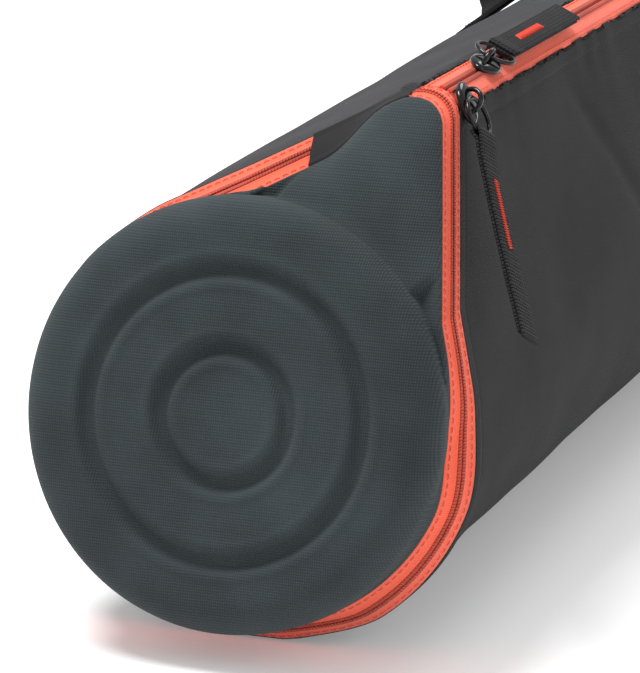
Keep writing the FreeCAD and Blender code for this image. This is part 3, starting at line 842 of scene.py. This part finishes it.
slider_pieces("slider_b", "slider_b", frame_of(slider_b_foot, RIDGE_ALONG, RIDGE_OUT))
pull_a_face = Matrix.Rotation(math.radians(PULL_TWIST), 3, PULL_A) @ FLANK_OUT
pull_pieces("pull_a", "pull_a", BAIL_A, PULL_A, pull_a_face, -PULL_A_LIFT, 0.6)
pull_pieces("pull_b", "pull_b", BAIL_B, RIDGE_ALONG, RIDGE_OUT, PULL_B_DIP, 0.0)

# ---------------------------------------------------------------- tail cap, piping, handle, strap rings
tail_mid = centre(BODY_LEN)
rows = []
tail_profile = [(73.5, -1.0), (71.0, 0.6), (70.0, 2.0), (70.0, 8.0)]
tail_profile += [(60 + 10 * math.cos(t), 8 + 10 * math.sin(t)) for t in
                 (math.pi / 2 * k / 9 for k in range(1, 10))]
tail_profile += [(60 * (1 - k / 24), 18 + 0.9 * math.sin(k / 24 * 1.5)) for k in range(1, 25)]
for radius, depth in tail_profile:
    rows.append([tail_mid + Vector((max(radius, 0.2) * math.cos(t), depth, max(radius, 0.2) * math.sin(t)))
                 for t in (2 * math.pi * k / 120 for k in range(120))])
tail_uv = [[((p - tail_mid).x, (p - tail_mid).z) for p in row] for row in rows]
tail = grid_object("tail_skin", rows, tail_uv, closed=True)
face_out(tail, lambda p: p - tail_mid + Vector((0, 60, 0)))
piece(thicken(tail, 1.0), CAP_CLOTH, "cap_fabric", "case", "tail_cap_shell")
line = [(tail_mid + turn(t) * 70.1 + Vector((0, 5.0, 0)), turn(t))
        for t in (2 * math.pi * k / 160 for k in range(161))]
piece(stitches("tail_stitch", line), THREAD, "cap_fabric", "case")

HANDLE_STATION, HANDLE_ANGLE = 550.0, math.radians(128.0)


def wall_frame(station, angle, height):
    radius, _ = sizes_at(station)
    here = centre(station) + turn(angle) * (radius + height)
    ahead = centre(station + 1) + turn(angle) * sizes_at(station + 1)[0]
    behind = centre(station - 1) + turn(angle) * sizes_at(station - 1)[0]
    along = (ahead - behind).normalized()
    out = turn(angle)
    out = (out - along * out.dot(along)).normalized()
    return frame_of(here, along, out)


handle_at = wall_frame(HANDLE_STATION, HANDLE_ANGLE, 2.4)
RISE, SPAN = 34.0, 65.0
bow = (SPAN ** 2 + RISE ** 2) / (2 * RISE)


def arch_height(x):
    return RISE - (bow - math.sqrt(max(bow ** 2 - x ** 2, 0)))


path = [(-SPAN - 34, -1.2), (-SPAN - 20, -1.2), (-SPAN - 6, -1.0)]
path += [(x, arch_height(x) + 0.4) for x in (mix(-SPAN + 2, SPAN - 2, k / 60) for k in range(61))]
path += [(SPAN + 6, -1.0), (SPAN + 20, -1.2), (SPAN + 34, -1.2)]
strap = webbing_strip("handle_strap", path, 30.0, 2.6, handle_at)
piece(strap, WEBBING, "black_webbing", "case", "handle_webbing")
rows, uvs = [], []
for k in range(49):
    x = mix(-36, 36, k / 48)
    end = 1 - 0.25 * smooth(31, 36, abs(x))
    z = arch_height(x) + 0.4
    ring = []
    for j in range(28):
        t = 2 * math.pi * j / 28
        wide = 17.3 * end * math.copysign(abs(math.cos(t)) ** 0.6, math.cos(t))
        high = 4.2 * end * math.copysign(abs(math.sin(t)) ** 0.8, math.sin(t))
        ring.append((x, wide, z + high + 0.25 * noise.noise(Vector((x * 0.1, wide * 0.2, high)))))
    rows.append(placed(ring, handle_at))
    uvs.append([(x, j * 1.6) for j in range(28)])
wrap = grid_object("handle_wrap", rows, uvs, closed=True)
thicken(wrap, 1.0)
piece(wrap, DARK_CLOTH, "padding_foam", "case", "handle_grip")
handle_out = handle_at.to_3x3() @ Vector((0, 0, 1))
for end in (-1, 1):
    for side in (-12.5, 12.5):
        line = [(handle_at @ Vector((end * (SPAN + 6 + 27 * k / 20), side, 0.3)), handle_out)
                for k in range(21)]
        piece(stitches(f"handle_stitch_{end + 1}_{int(side > 0)}", line), THREAD, "black_webbing", "case")

NODE_LOOKS = {
    "tail_foam_pad": FOAM, "cap_foam_pad": FOAM, "inner_lining": LINING, "cap_lining": LINING,
    "mouth_hoop": PLASTIC, "tail_piping": PLASTIC, "front_ring_tab": WEBBING, "rear_ring_tab": WEBBING,
    "handle_anchor_patches": DARK_CLOTH, "zip_end_patch": DARK_CLOTH, "front_d_ring": WIRE,
    "rear_d_ring": WIRE, "long_zip_coil_top": ZIP_RIB, "long_zip_coil_side": ZIP_RIB,
}
for node, look in NODE_LOOKS.items():
    materials = frame["nodes"][node].data.materials
    materials.clear()
    materials.append(look)

# ---------------------------------------------------------------- floor, light and camera
bpy.ops.mesh.primitive_plane_add(size=12, location=(0, 0, -0.0008))
floor = bpy.context.object
floor.name = "floor"
white, _, shader = base_material("studio_white", (0.80, 0.80, 0.80), 0.6)
shader.inputs["Emission Color"].default_value = (1, 1, 1, 1)
shader.inputs["Emission Strength"].default_value = 0.2
floor.data.materials.append(white)

world = bpy.data.worlds.new("studio")
bpy.context.scene.world = world
world.use_nodes = True
world.node_tree.nodes["Background"].inputs["Color"].default_value = (1.0, 1.0, 1.0, 1)
world.node_tree.nodes["Background"].inputs["Strength"].default_value = 0.7


def area_light(name, place, aim, size, power):
    data = bpy.data.lights.new(name, "AREA")
    data.shape, data.size, data.energy = "DISK", size, power
    lamp = bpy.data.objects.new(name, data)
    bpy.context.scene.collection.objects.link(lamp)
    lamp.location = place
    lamp.rotation_euler = (Vector(aim) - Vector(place)).to_track_quat("-Z", "Y").to_euler()


area_light("key", (-0.7, -0.5, 2.2), (0, -0.2, 0.1), 0.9, 58)
area_light("fill", (1.8, -1.2, 1.3), (0, -0.2, 0.1), 1.2, 7)
area_light("back", (0.3, 1.6, 1.8), (0, 0.0, 0.1), 1.0, 14)

azimuth, elevation = math.radians(20.0), math.radians(16.0)
distance, view_height = 2400.0, 258.8                # how far the camera stands and how tall a field it sees
level = math.cos(elevation)
back = Vector((math.sin(azimuth) * level, -math.cos(azimuth) * level, math.sin(elevation)))
right = Vector((math.cos(azimuth), math.sin(azimuth), 0))
up = back.cross(right)
cap_centre = Vector((1, MOUTH, 91))
aim_right, aim_up = 29.6, 31.0                       # from the cap's middle to the middle of the view
aim = cap_centre + right * aim_right + up * aim_up
camera_data = bpy.data.cameras.new("camera")
camera = bpy.data.objects.new("camera", camera_data)
bpy.context.scene.collection.objects.link(camera)
camera.matrix_world = Matrix.Translation((aim + back * distance) * MM) @ Matrix(
    ((right.x, up.x, back.x), (right.y, up.y, back.y), (right.z, up.z, back.z))).to_4x4()
camera_data.sensor_width = 36.0
camera_data.lens = distance / view_height * camera_data.sensor_width
camera_data.clip_end = 50
bpy.context.scene.camera = camera
bpy.context.scene.view_settings.view_transform = "Standard"
